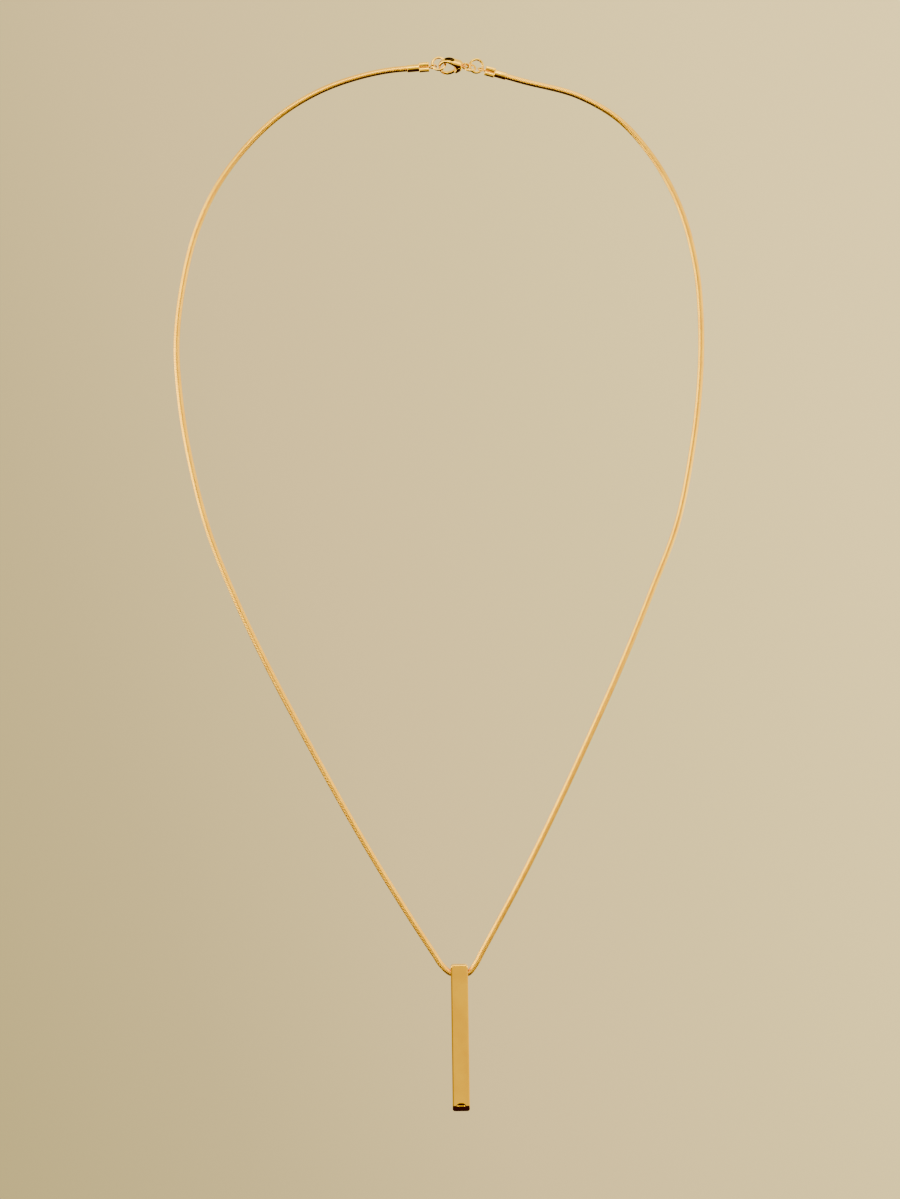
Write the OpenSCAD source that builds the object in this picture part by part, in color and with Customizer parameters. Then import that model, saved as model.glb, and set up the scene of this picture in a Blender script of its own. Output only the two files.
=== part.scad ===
/* [Chain] */
// Diameter of the snake chain
chain_d = 1.6; // [1.4:0.1:1.6]
// Number of sides of the chain's tube
chain_sides = 8; // [8:1:12]
// Longest step between two rings of the chain's tube
chain_step = 10.5; // [10.5:0.5:14]

/* [Bar pendant] */
// Width and depth of the square bar
bar_w = 4.6; // [4.4:0.1:5]
// Length of the bar
bar_l = 39.2; // [30:0.2:45]
// Depth of the cross hole's axis below the bar's top
hole_drop = 2.7; // [2.6:0.1:3]
// Diameter of the cross hole that the chain runs through
hole_d = 2.8; // [2.7:0.1:3]
// Radius of the bar's long edges
edge_r = 0.45; // [0.3:0.05:0.6]
// Radius of the corners at the bar's two ends, seen from the front
end_r = 0.8; // [0.6:0.1:1]
// Radius of the top's corners seen from the side
top_side_r = 0.6; // [0.5:0.1:1]
// Radius of the foot's corners seen from the side
foot_side_r = 1.6; // [1.2:0.1:1.8]
// Lean of the bar in the plane of the necklace
bar_lean = -0.8; // [-2:0.1:2]

/* [Rings] */
// Outer diameter of a jump ring
jump_d = 4.05; // [3.95:0.05:4.05]
// Wire of a jump ring
jump_wire = 0.55; // [0.45:0.05:0.55]
// Outer diameter of the link ring
link_d = 3.35; // [3.3:0.05:3.4]
// Wire of the link ring
link_wire = 0.5; // [0.4:0.05:0.5]

/* [Crimps] */
// Outer diameter of a crimp's tube
crimp_d = 2; // [2:0.05:2.2]
// Length of a crimp's tube
tube_l = 3.1; // [2.8:0.1:3.4]
// Length of a crimp's folded tab
tab_l = 2.7; // [2.5:0.1:2.7]
// Height of the folded tab
tab_h = 2.6; // [2.4:0.1:2.7]
// Outer diameter of a crimp's eye
eye_d = 2.04; // [2:0.02:2.1]
// Wire of a crimp's eye
eye_wire = 0.4; // [0.35:0.05:0.4]

/* [Clasp] */
// Tilt of the clasp about its own length
clasp_tilt = 42; // [40:1:44]
// Depth of the clasp at its hinge
clasp_depth = 2.7; // [2.4:0.1:2.8]
// Depth of the lever
lever_depth = 0.9; // [0.8:0.05:1]
// Diameter of the riveted pin
pin_d = 0.5; // [0.4:0.05:0.55]
// Running clearance between lever and clasp
run_gap = 0.08; // [0.06:0.01:0.1]

/* [Hidden] */

$fn = 48;
gold = [0.86, 0.66, 0.30];
pale_gold = [0.93, 0.78, 0.47];

// The chain's route in the plane of the necklace, [across, up], from the left crimp round to the right one
route = [
    [-9.5, -0.2], [-17, -0.9], [-26, -2.9], [-35, -6.2], [-46, -12.8], [-56, -22.4], [-63, -32.2],
    [-68, -43], [-72, -59], [-73.5, -73], [-72.5, -89], [-69.5, -106.5], [-65, -123.5], [-58.5, -140],
    [-50, -158], [-40, -177], [-18, -215.6], [-5, -235.9], [-2.9, -239], [-0.7, -240.9],
    [1.7, -241.4], [4.1, -240.9], [6, -238.6], [7.5, -235.8], [18, -216.3], [36, -178.8],
    [45, -158.6], [53, -139], [59.5, -121.8], [63.5, -102.5], [65.6, -84.5], [66, -70], [64.5, -52.5],
    [60, -36.5], [52.5, -23.2], [43, -13.1], [34, -8], [18, -3.6], [11.5, -1.75]
];

// Place of the cross hole's centre, on the chain, and the slack by which the bar's end profiles miss its sides
hole_at = [1.7, 0, -241.2];
side_slack = 0.04;

// Rings: centre, then pitch about the horizontal and turn about the vertical, from face-on
jump_left_at = [-3.8, -0.1, 0.9];
jump_left_turn = [-16, -5];
jump_right_at = [6.2, -0.4, 0.25];
jump_right_turn = [7, 10];
link_at = [4.5, -0.25, -0.15];
link_turn = [-50, 9];

// Crimps: centre of the eye, slope of the crimp along the chain, and pitch of the eye
crimp_left_at = [-5.3, 0, 0.15];
crimp_left_slope = 5;
crimp_left_pitch = 59;
crimp_right_at = [7.5, 0, -0.6];
crimp_right_slope = 16;
crimp_right_pitch = -64;

// Crimp form: stem and eye meet the tab, two wings fold over a back plate, and the tube's end is closed
stem_d = 0.7;
tab_gap = 0.05;
tab_start = eye_d / 2 + tab_gap;
tube_start = tab_start + tab_l;
join = 0.2;
cap_wall = 0.3;
chain_fit = 0.06;
tab_groove = 0.14;
wing_r = (tab_h - tab_groove) / 4;
wing_y = -0.1;
back_y = 0.55;
back_inset = 0.15;

// Clasp, in its own plane with the nose at -x, the eye at +x and the spine at +z
clasp_at = [-0.1, 0, 0.2];
nose = [-1.3, 0];
nose_r = 2.5;
heel = [1.8, 0.4];
heel_r = 1.1;
mouth = [-1.55, -0.2];
mouth_r = 1.6;
mouth_end = [0, -0.3];
mouth_end_r = 0.8;
clasp_eye_at = [3.4, 0.1];
clasp_eye_d = 2.14;
clasp_eye_wire = 0.54;

// Half depth of the clasp at places along its length
clasp_plan = [
    [-4.2, 0.45], [-3.2, 0.58], [-2, 0.68], [-0.9, 1.15], [0.2, clasp_depth / 2], [2.1, clasp_depth / 2],
    [2.95, 0.4]
];

// Hollow in the outer wall of the spine: its half width at places along the clasp, and its floor
hollow_plan = [[-2.2, 0.35], [-1.9, 0.5], [-0.6, 0.85], [0.2, 0.85], [0.55, 0.5]];
hollow_floor = 1.66;

// Lever: its band lies under the mouth and ends at a slanted face that stops it at the nose's tip
pin_at = [1.7, 0];
root_r = 0.55;
arm = [[1.2, 0.1], [2.05, -0.3], [1.05, -1.5], [0.65, -2.2], [0.4, -2.25], [0.4, -1]];
tip_centre = [1.7, 1.2];
tip_r = 5.1;
band_top = -0.6;
band_right = 0.7;
cheek_x = 0.85;
pocket_top = 0.3;
far = 6;

// Slope of the curve at point i of the route, weighted by the lengths of the steps beside it
function step_at(i) = norm(route[i + 1] - route[i]);
function slope_at(i) =
    i == 0 ? (route[1] - route[0]) / step_at(0)
    : i == len(route) - 1 ? (route[i] - route[i - 1]) / step_at(i - 1)
    : ((route[i + 1] - route[i]) / step_at(i) * step_at(i - 1)
        + (route[i] - route[i - 1]) / step_at(i - 1) * step_at(i)) / (step_at(i) + step_at(i - 1));

// Point of the smooth curve at share t of step i
function curve_point(i, t) =
    route[i] * (2 * t * t * t - 3 * t * t + 1)
    + slope_at(i) * step_at(i) * (t * t * t - 2 * t * t + t)
    + route[i + 1] * (3 * t * t - 2 * t * t * t)
    + slope_at(i + 1) * step_at(i) * (t * t * t - t * t);

// Points of the chain's centre line, each step cut into equal shares
centre_line = [
    for (i = [0 : len(route) - 2])
        let (parts = ceil(step_at(i) / chain_step))
            for (k = [0 : parts - 1]) curve_point(i, k / parts),
    route[len(route) - 1]
];
rings = len(centre_line);

// Direction of the centre line at ring j
function along(j) =
    let (d = centre_line[min(j + 1, rings - 1)] - centre_line[max(j - 1, 0)]) d / norm(d);

// One ring of the chain's tube
function ring_points(j) =
    let (p = centre_line[j], d = along(j), r = chain_d / 2)
        [for (k = [0 : chain_sides - 1])
            let (a = 360 * (k + 0.5) / chain_sides, u = r * cos(a), v = r * sin(a))
                [p[0] - d[1] * u, v, p[1] + d[0] * u]];

chain_points = [for (j = [0 : rings - 1]) each ring_points(j)];
chain_faces = [
    [for (k = [0 : chain_sides - 1]) k],
    [for (k = [chain_sides - 1 : -1 : 0]) (rings - 1) * chain_sides + k],
    for (j = [0 : rings - 2], k = [0 : chain_sides - 1])
        let (a = j * chain_sides, n = (k + 1) % chain_sides)
            each [
                [a + k, a + chain_sides + k, a + chain_sides + n],
                [a + k, a + chain_sides + n, a + n]
            ]
];

// Corner points of the straight sides that join two circles, c and e, into one tapered outline
function taper(c, cr, e, er) =
    let (
        l = norm(e - c),
        d = (e - c) / l,
        n = [-d[1], d[0]],
        s = (cr - er) / l,
        q = sqrt(1 - s * s)
    )
        [
            c + cr * (d * s + n * q),
            e + er * (d * s + n * q),
            e + er * (d * s - n * q),
            c + cr * (d * s - n * q)
        ];

module tapered(c, cr, e, er) {
    translate(c) circle(r = cr);
    translate(e) circle(r = er);
    polygon(taper(c, cr, e, er));
}

module wire_ring(outer_d, wire) {
    rotate_extrude()
        translate([(outer_d - wire) / 2, 0])
            circle(d = wire);
}

// A ring that starts face-on, is pitched about the horizontal and then turned about the vertical
module placed_ring(at, turn, outer_d, wire) {
    translate(at)
        rotate([90 + turn[0], 0, turn[1]])
            wire_ring(outer_d, wire);
}

module snake_chain() {
    color(pale_gold)
        polyhedron(points = chain_points, faces = chain_faces, convexity = 10);
}

// Outline of the folded tab, seen along the crimp: a back plate and two rounded wings that meet in a groove
module tab_outline() {
    for (side = [-1, 1])
        translate([wing_y, side * (wing_r + tab_groove / 2)])
            circle(r = wing_r);
    translate([wing_y, back_inset - tab_h / 2])
        square([back_y - wing_y, tab_h - 2 * back_inset]);
}

// A crimp along +x, from its eye at the origin to the open end of its tube
module crimp_form(eye_pitch) {
    rotate([90 + eye_pitch, 0, 0])
        wire_ring(eye_d, eye_wire);
    translate([(eye_d - eye_wire) / 2, 0, 0])
        rotate([0, 90, 0])
            cylinder(d = stem_d, h = tab_gap + eye_wire / 2 + join);
    translate([tab_start, 0, 0])
        rotate([90, 0, 90])
            linear_extrude(tab_l)
                tab_outline();
    translate([tube_start - join, 0, 0])
        rotate([0, 90, 0])
            difference() {
                cylinder(d = crimp_d, h = tube_l + join);
                translate([0, 0, join + cap_wall])
                    cylinder(d = chain_d + 2 * chain_fit, h = tube_l);
            }
}

module crimp_left() {
    color(gold)
        translate(crimp_left_at)
            rotate([0, 180 - crimp_left_slope, 0])
                crimp_form(-crimp_left_pitch);
}

module crimp_right() {
    color(gold)
        translate(crimp_right_at)
            rotate([0, crimp_right_slope, 0])
                crimp_form(crimp_right_pitch);
}

module jump_ring_left() {
    color(pale_gold)
        placed_ring(jump_left_at, jump_left_turn, jump_d, jump_wire);
}

module jump_ring_right() {
    color(pale_gold)
        placed_ring(jump_right_at, jump_right_turn, jump_d, jump_wire);
}

module link_ring() {
    color(gold)
        placed_ring(link_at, link_turn, link_d, link_wire);
}

// Stands an outline drawn in the clasp's plane up, as a plate of the given depth
module plate(depth) {
    rotate([90, 0, 0])
        linear_extrude(depth, center = true)
            children();
}

// A cylinder through the clasp at the lever's pin
module at_pin(d, depth) {
    translate([pin_at[0], 0, pin_at[1]])
        rotate([90, 0, 0])
            cylinder(d = d, h = depth, center = true);
}

module clasp_placed() {
    translate(clasp_at)
        rotate([clasp_tilt, 0, 0])
            children();
}

module clasp_outline() {
    tapered(nose, nose_r, heel, heel_r);
}

module mouth_outline() {
    tapered(mouth, mouth_r, mouth_end, mouth_end_r);
}

// The lever's side of the clasp: below the band's top, left of right_x and within reach of the tip's face
module lever_side(reach, right_x) {
    intersection() {
        translate(tip_centre) circle(r = reach);
        translate([-far, -far]) square([right_x + far, band_top + far]);
    }
}

// Slot between the cheeks, in which the lever's root turns
module pocket_outline() {
    translate(pin_at) circle(r = root_r + run_gap);
    translate([mouth_end[0], -far]) square([pin_at[0] - mouth_end[0], far + pocket_top]);
    translate([pin_at[0] - root_r, -far]) square([2 * root_r + run_gap, far]);
}

// Outline seen from above: a table of half widths and its mirror image
module mirrored(plan) {
    polygon([each plan, for (i = [len(plan) - 1 : -1 : 0]) [plan[i][0], -plan[i][1]]]);
}

module clasp_body() {
    color(gold)
        clasp_placed() {
            difference() {
                intersection() {
                    plate(clasp_depth + 1)
                        difference() {
                            clasp_outline();
                            mouth_outline();
                            lever_side(tip_r + run_gap, cheek_x);
                        }
                    linear_extrude(2 * far, center = true)
                        mirrored(clasp_plan);
                }
                plate(lever_depth + 2 * run_gap) pocket_outline();
                translate([0, 0, hollow_floor])
                    linear_extrude(far)
                        mirrored(hollow_plan);
            }
            at_pin(pin_d, clasp_depth);
            translate([clasp_eye_at[0], 0, clasp_eye_at[1]])
                rotate([90, 0, 0])
                    wire_ring(clasp_eye_d, clasp_eye_wire);
        }
}

module clasp_lever() {
    color(pale_gold)
        clasp_placed()
            difference() {
                union() {
                    intersection() {
                        plate(lever_depth)
                            difference() {
                                clasp_outline();
                                mouth_outline();
                            }
                        plate(clasp_depth) lever_side(tip_r, band_right);
                    }
                    at_pin(2 * root_r, lever_depth);
                    plate(lever_depth) polygon(arm);
                }
                at_pin(pin_d + 2 * run_gap, clasp_depth);
            }
}

// A centred rectangle whose corners have one radius at the top and one at the foot
module rounded_rect(w, h, top_r, foot_r) {
    translate([-w / 2, foot_r - h / 2]) square([w, h - top_r - foot_r]);
    translate([top_r - w / 2, foot_r - h / 2]) square([w - 2 * top_r, h - foot_r]);
    translate([foot_r - w / 2, -h / 2]) square([w - 2 * foot_r, h - top_r]);
    for (x = [-1, 1]) {
        translate([x * (w / 2 - top_r), h / 2 - top_r]) circle(r = top_r);
        translate([x * (w / 2 - foot_r), foot_r - h / 2]) circle(r = foot_r);
    }
}

// The bar, centred on its own middle: a rounded square, its ends rounded as seen from the front and the side
module bar_blank() {
    intersection() {
        linear_extrude(bar_l + 1, center = true)
            rounded_rect(bar_w, bar_w, edge_r, edge_r);
        rotate([90, 0, 0])
            linear_extrude(bar_w + 1, center = true)
                rounded_rect(bar_w + side_slack, bar_l, end_r, end_r);
        rotate([90, 0, 90])
            linear_extrude(bar_w + 1, center = true)
                rounded_rect(bar_w + side_slack, bar_l + side_slack, top_side_r, foot_side_r);
    }
}

module bar_pendant() {
    color(gold)
        translate(hole_at)
            rotate([0, bar_lean, 0])
                difference() {
                    translate([0, 0, hole_drop - bar_l / 2]) bar_blank();
                    rotate([0, 90, 0])
                        cylinder(d = hole_d, h = bar_w + 1, center = true);
                }
}

snake_chain();
crimp_left();
crimp_right();
jump_ring_left();
jump_ring_right();
link_ring();
clasp_body();
clasp_lever();
bar_pendant();
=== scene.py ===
"""Looks of a charm necklace: a gold snake chain, a polished bar pendant and the clasp with its rings.

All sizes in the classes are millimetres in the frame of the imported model, with its origin at the clasp.
"""

from __future__ import annotations

import logging
import math
from dataclasses import dataclass
from enum import Enum
from typing import Sequence

import bmesh
import bpy
import numpy as np
from mathutils import Euler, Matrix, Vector


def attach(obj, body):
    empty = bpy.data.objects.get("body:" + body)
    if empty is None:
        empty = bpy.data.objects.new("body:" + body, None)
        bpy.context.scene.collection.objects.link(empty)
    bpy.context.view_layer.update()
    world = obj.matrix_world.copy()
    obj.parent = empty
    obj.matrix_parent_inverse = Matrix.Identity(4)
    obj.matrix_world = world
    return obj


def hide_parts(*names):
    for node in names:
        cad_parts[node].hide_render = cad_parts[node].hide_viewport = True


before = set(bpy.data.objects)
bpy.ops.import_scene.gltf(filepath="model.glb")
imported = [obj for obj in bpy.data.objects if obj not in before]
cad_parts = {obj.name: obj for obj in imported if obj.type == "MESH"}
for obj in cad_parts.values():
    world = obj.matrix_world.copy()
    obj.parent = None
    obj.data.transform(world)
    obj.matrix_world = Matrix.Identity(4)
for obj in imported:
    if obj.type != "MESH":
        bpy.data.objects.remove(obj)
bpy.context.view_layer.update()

LOG = logging.getLogger("charm_necklace")
MM = 0.001
Array = np.ndarray
Pair = tuple[float, float]
Triple = tuple[float, float, float]
Socket = bpy.types.NodeSocket


class Body(Enum):
    """Rigid bodies of the frame."""

    NECKLACE = "necklace"
    PENDANT = "pendant"
    LEVER = "lever"


class Slot(Enum):
    """Material slots of the record."""

    CHAIN = "chain_gold"
    FINDING = "finding_gold"
    BAR = "bar_gold"


# Finishes


@dataclass(frozen=True)
class NodeKit:
    """Adds nodes to a material or a world and links them.

    Attributes:
        tree: the tree that the nodes go into.
    """

    tree: bpy.types.NodeTree

    def feed(self, node: bpy.types.Node, **inputs: Socket | float) -> bpy.types.Node:
        """Sets or links a node's inputs.

        Args:
            node: the node.
            inputs: a value or a socket for each input, with _ for a space in its name.

        Returns:
            The node.
        """
        for name, value in inputs.items():
            socket = node.inputs[name.replace("_", " ")]
            if isinstance(value, Socket):
                self.tree.links.new(value, socket)
            else:
                socket.default_value = value
        return node

    def add(self, kind: str, **inputs: Socket | float) -> bpy.types.Node:
        """Adds a node of the type ShaderNode and kind, and feeds its inputs."""
        return self.feed(self.tree.nodes.new(f"ShaderNode{kind}"), **inputs)

    def span(self, value: Socket, reach: Pair, made: Pair = (0.0, 1.0), curve: str = "LINEAR") -> Socket:
        """Takes a value over one range to a value over another.

        Args:
            value: the value to read.
            reach: its range.
            made: the range of what is made of it.
            curve: the kind of rise.

        Returns:
            The new value.
        """
        span = self.add("MapRange", Value=value, From_Min=reach[0], From_Max=reach[1])
        self.feed(span, To_Min=made[0], To_Max=made[1])
        span.interpolation_type = curve
        return span.outputs["Result"]

    def mix(self, share: Socket, first: Socket, second: Socket) -> Socket:
        """Mixes two colours.

        Args:
            share: share of the second colour.
            first, second: the two colours.

        Returns:
            The mixed colour.
        """
        mix = self.add("Mix")
        mix.data_type = "RGBA"
        return self.feed(mix, Factor=share, A=first, B=second).outputs["Result"]


@dataclass(frozen=True)
class Ramp:
    """Colours along a value.

    Attributes:
        reach: the value at places 0 and 1.
        stops: (place, colour) pairs.
    """

    reach: Pair
    stops: tuple[tuple[float, Triple], ...]

    def read(self, kit: NodeKit, value: Socket) -> Socket:
        """Colours a value.

        Args:
            kit: the nodes.
            value: the value.

        Returns:
            The colour.
        """
        ramp = kit.add("ValToRGB", Fac=kit.span(value, self.reach))
        elements = ramp.color_ramp.elements
        for place, _ in self.stops[1:-1]:
            elements.new(place)
        for element, (place, colour) in zip(elements, self.stops):
            element.position, element.color = place, (*colour, 1.0)
        return ramp.outputs["Color"]


@dataclass(frozen=True)
class GoldFinish:
    """Plated gold with a soft variation of its gloss and a faint grain.

    Attributes:
        name: name of the material.
        colour: linear base colour.
        worn: linear base colour where the plating is duller.
        roughness: lowest and highest roughness.
        cloud_mm: size of the patches in which the gloss changes.
        grain: size and strength of the surface's grain.
        ripple: size and strength of the slow unevenness that bends reflections.
        grain_depth: height of the grain.
        ripple_depth: height of the unevenness.
        tone_span: values of the patches at which the colour is the base one and the worn one.
        gloss_span: values of the patches at which the roughness is lowest and highest.
    """

    name: str
    colour: Triple
    worn: Triple
    roughness: Pair
    cloud_mm: float
    grain: Pair
    ripple: Pair
    grain_depth: float = 0.01
    ripple_depth: float = 0.05
    tone_span: Pair = (0.4, 0.65)
    gloss_span: Pair = (0.3, 0.7)

    def material(self) -> bpy.types.Material:
        """Builds the material once and returns it.

        Returns:
            The gold material, its patterns on Object coordinates.
        """
        found = bpy.data.materials.get(self.name)
        if found:
            return found
        made = bpy.data.materials.new(self.name)
        made.use_nodes = True
        kit = NodeKit(made.node_tree)
        place = kit.add("TexCoord").outputs["Object"]
        cloud, grain, ripple = (
            kit.add("TexNoise", Vector=place, Scale=1.0 / (size * MM), Detail=detail).outputs["Fac"]
            for size, detail in ((self.cloud_mm, 3.0), (self.grain[0], 2.0), (self.ripple[0], 1.0))
        )
        slow = kit.add("Bump", Height=ripple, Strength=self.ripple[1], Distance=self.ripple_depth * MM)
        fine = kit.add("Bump", Height=grain, Strength=self.grain[1], Distance=self.grain_depth * MM)
        kit.feed(fine, Normal=slow.outputs["Normal"])
        tone = Ramp(self.tone_span, ((0.0, self.colour), (1.0, self.worn)))
        kit.feed(
            made.node_tree.nodes["Principled BSDF"],
            Metallic=1.0,
            Base_Color=tone.read(kit, cloud),
            Roughness=kit.span(cloud, self.gloss_span, self.roughness),
            Normal=fine.outputs["Normal"],
        )
        return made


CHAIN_GOLD = GoldFinish(
    name="snake_chain_plating",
    colour=(1.0, 0.59, 0.03),
    worn=(0.92, 0.52, 0.02),
    roughness=(0.1, 0.16),
    cloud_mm=6.0,
    grain=(0.08, 0.15),
    ripple=(3.0, 0.1),
)
FINDING_GOLD = GoldFinish(
    name="clasp_and_ring_plating",
    colour=(1.0, 0.66, 0.06),
    worn=(0.92, 0.55, 0.02),
    roughness=(0.13, 0.24),
    cloud_mm=1.5,
    grain=(0.1, 0.2),
    ripple=(0.9, 0.35),
)
# Near-black finish for the walls of the clasp's hollow: painted shade and painted dark reflection, darker
# than the gold itself.
HOLLOW_PAINTED_SHADE = GoldFinish(
    name="hollow_painted_shade",
    colour=(0.09, 0.045, 0.012),
    worn=(0.05, 0.022, 0.006),
    roughness=(0.4, 0.55),
    cloud_mm=0.6,
    grain=(0.08, 0.5),
    ripple=(0.5, 0.4),
)
BAR_GOLD = GoldFinish(
    name="polished_bar_gold",
    colour=(1.0, 0.59, 0.004),
    worn=(0.92, 0.52, 0.002),
    roughness=(0.06, 0.14),
    cloud_mm=6.0,
    grain=(0.12, 0.08),
    ripple=(5.0, 0.12),
)


# Shapes


def turn_matrix(about_x: float = 0.0, about_y: float = 0.0, about_z: float = 0.0) -> Array:
    """Matrix that turns by degrees about X, then Y, then Z."""
    return np.array(Euler([math.radians(a) for a in (about_x, about_y, about_z)]).to_matrix())


def full_turn(count: int) -> Array:
    """Directions of even steps round a circle, in radians."""
    return np.arange(count) * 2.0 * np.pi / count


def quarter_turn(count: int) -> Array:
    """Angles from 0 to a right angle, in radians."""
    return np.linspace(0.0, np.pi / 2.0, count)


def squared(value: Array, power: float | Array) -> Array:
    """sign(v) |v|^(2 / power), which turns the sine and cosine of a circle into those of a squarer curve."""
    return np.sign(value) * np.abs(value) ** (2.0 / power)


@dataclass(frozen=True)
class Hull:
    """Two circles in a plane, and the outline round both.

    Attributes:
        first, first_r: centre and radius of the first circle.
        last, last_r: centre and radius of the last circle.
    """

    first: Pair
    first_r: float
    last: Pair
    last_r: float

    def distance(self, p: Array) -> Array:
        """Signed distance from points to the outline, negative inside.

        Along the axis a point lies beside the first circle, the last or the straight sides that touch both,
        and its distance is taken to that one.

        Args:
            p: points, shape (..., 2).

        Returns:
            Distances, shape (...).
        """
        axis = np.subtract(self.last, self.first)
        length = float(np.hypot(*axis))
        axis = axis / length
        rel = p - np.array(self.first)
        along = rel @ axis
        across = np.abs(rel[..., 0] * axis[1] - rel[..., 1] * axis[0])
        lean = (self.first_r - self.last_r) / length
        side = math.sqrt(1.0 - lean * lean)
        k = side * along - lean * across
        first = np.hypot(across, along) - self.first_r
        last = np.hypot(across, along - length) - self.last_r
        flat = side * across + lean * along - self.first_r
        return np.where(k < 0.0, first, np.where(k > side * length, last, flat))

    def outline(self, count: int) -> Array:
        """Points of the outline: in each direction, of the circle that reaches farther.

        Args:
            count: number of points.

        Returns:
            count points (x, z), anticlockwise.
        """
        t = full_turn(count)
        way = np.stack([np.cos(t), np.sin(t)], -1)
        first = np.array(self.first) + self.first_r * way
        last = np.array(self.last) + self.last_r * way
        farther = (np.sum(last * way, -1) > np.sum(first * way, -1))[:, None]
        return np.where(farther, last, first)


@dataclass
class Shell:
    """A closed surface in millimetres.

    Attributes:
        points: vertices, shape (n, 3).
        faces: the points of each face.
    """

    points: Array
    faces: list[list[int]]

    @classmethod
    def from_rings(cls, x: Array, y: Array, z: Array, closed: bool = False) -> Shell:
        """Joins rings of points in order and closes both ends with a fan to their middle.

        Args:
            x, y, z: coordinates, with a row for each ring, or a shape that broadcasts to the others'.
            closed: the last ring joins the first, and there are no ends.

        Returns:
            The closed shell.
        """
        rings = np.stack(np.broadcast_arrays(x, y, z), -1)
        rows, cols = rings.shape[:2]
        a, b = np.meshgrid(np.arange(rows if closed else rows - 1), np.arange(cols), indexing="ij")
        a1, b1 = (a + 1) % rows, (b + 1) % cols
        quads = np.stack([a * cols + b, a * cols + b1, a1 * cols + b1, a1 * cols + b], -1)
        points, faces = rings.reshape(-1, 3), quads.reshape(-1, 4).tolist()
        if not closed:
            k, last = np.arange(cols), (rows - 1) * cols
            k1 = (k + 1) % cols
            faces += np.stack([k1, k, np.full(cols, rows * cols)], -1).tolist()
            faces += np.stack([last + k, last + k1, np.full(cols, rows * cols + 1)], -1).tolist()
            points = np.concatenate([points, rings[:1].mean(1), rings[-1:].mean(1)])
        return cls(points, faces)

    def placed(self, turn: Array, at: Triple) -> Shell:
        """The shell turned by a matrix and then moved to a place."""
        return Shell(self.points @ turn.T + np.array(at), self.faces)


def closed_ring(outer_d: float, wire: float, sides: int, pitch: float, at: Triple) -> Shell:
    """A wire ring without a cut that faces along Y, pitched about X and moved to its place.

    Args:
        outer_d, wire: its outer diameter and that of its wire.
        sides: sides of the wire.
        pitch: degrees about X.
        at: its centre.

    Returns:
        The ring.
    """
    steps, wire_r = 72, wire / 2.0
    a, b = full_turn(steps)[:, None], full_turn(sides)[None, :]
    r = outer_d / 2.0 - wire_r + wire_r * np.cos(b)
    ring = Shell.from_rings(r * np.cos(a), r * np.sin(a), wire_r * np.sin(b), closed=True)
    return ring.placed(turn_matrix(90.0 + pitch), at)


def lathe(profile: Array, sides: int) -> Shell:
    """A profile of (x, radius) points turned about X, with both ends on the axis.

    Args:
        profile: points (x, radius).
        sides: steps round.

    Returns:
        The turned shell.
    """
    b = full_turn(sides)[None, :]
    x, r = profile[:, :1], profile[:, 1:]
    return Shell.from_rings(x, r * np.cos(b), r * np.sin(b))


def rounded_bar(start: float, end: float, half_y: float, half_z: float, power: float, ease: float) -> Shell:
    """A bar along X, its ends rounded by quarter circles of radius ease.

    Its section is the curve |u|^power + |v|^power = 1, a circle at power 2 and squarer above it.

    Args:
        start, end: x of its ends.
        half_y, half_z: half its size along Y and Z.
        power: squareness of the section.
        ease: radius of the ends' edges.

    Returns:
        The bar.
    """
    a = quarter_turn(7)
    near = start + ease * (1.0 - np.cos(a))
    inset = ease * (1.0 - np.sin(a))
    xs = np.concatenate([near, [(start + end) / 2.0], start + end - near[::-1]])[:, None]
    insets = np.concatenate([inset, [0.0], inset[::-1]])[:, None]
    t = full_turn(48)[None]
    y = squared(np.cos(t), power) * (half_y - insets)
    z = squared(np.sin(t), power) * (half_z - insets)
    return Shell.from_rings(xs, y, z)


def rounded_plate(outline: Array, half_depth: float, ease: float) -> Shell:
    """A plate in the XZ plane: its outline, with edges rounded by quarter circles of radius ease.

    Each ring is the outline moved inwards along its normals by ease (1 - cos a), at the depth of angle a.

    Args:
        outline: points (x, z), anticlockwise.
        half_depth: half the plate's depth along Y.
        ease: radius of the edges.

    Returns:
        The plate.
    """
    along = np.roll(outline, -1, 0) - np.roll(outline, 1, 0)
    inwards = np.stack([-along[:, 1], along[:, 0]], -1)
    inwards = inwards / np.linalg.norm(inwards, axis=-1, keepdims=True)
    a = quarter_turn(6)[::-1]
    inset = ease * (1.0 - np.cos(a))
    depth = half_depth - ease + ease * np.sin(a)
    inset = np.concatenate([inset, inset[::-1]])
    depth = np.concatenate([-depth, depth[::-1]])
    flat = outline[None] + inset[:, None, None] * inwards[None]
    return Shell.from_rings(flat[..., 0], depth[:, None], flat[..., 1])


def make_mesh(name: str, shells: Sequence[Shell], finish: GoldFinish) -> bpy.types.Mesh:
    """Puts shells into one mesh in metres, with outward normals.

    Args:
        name: name of the mesh.
        shells: the closed shells.
        finish: its finish.

    Returns:
        The mesh.
    """
    counts = np.cumsum([0] + [len(s.points) for s in shells])
    faces = [[i + start for i in face] for start, s in zip(counts.tolist(), shells) for face in s.faces]
    mesh = bpy.data.meshes.new(name)
    mesh.from_pydata((np.concatenate([s.points for s in shells]) * MM).tolist(), [], faces)
    mesh.materials.append(finish.material())
    work = bmesh.new()
    work.from_mesh(mesh)
    bmesh.ops.recalc_face_normals(work, faces=work.faces)
    work.to_mesh(mesh)
    work.free()
    return mesh


def linked(name: str, data: bpy.types.ID) -> bpy.types.Object:
    """A new object of a mesh, a light or a camera, linked to the scene."""
    made = bpy.data.objects.new(name, data)
    bpy.context.scene.collection.objects.link(made)
    return made


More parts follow.
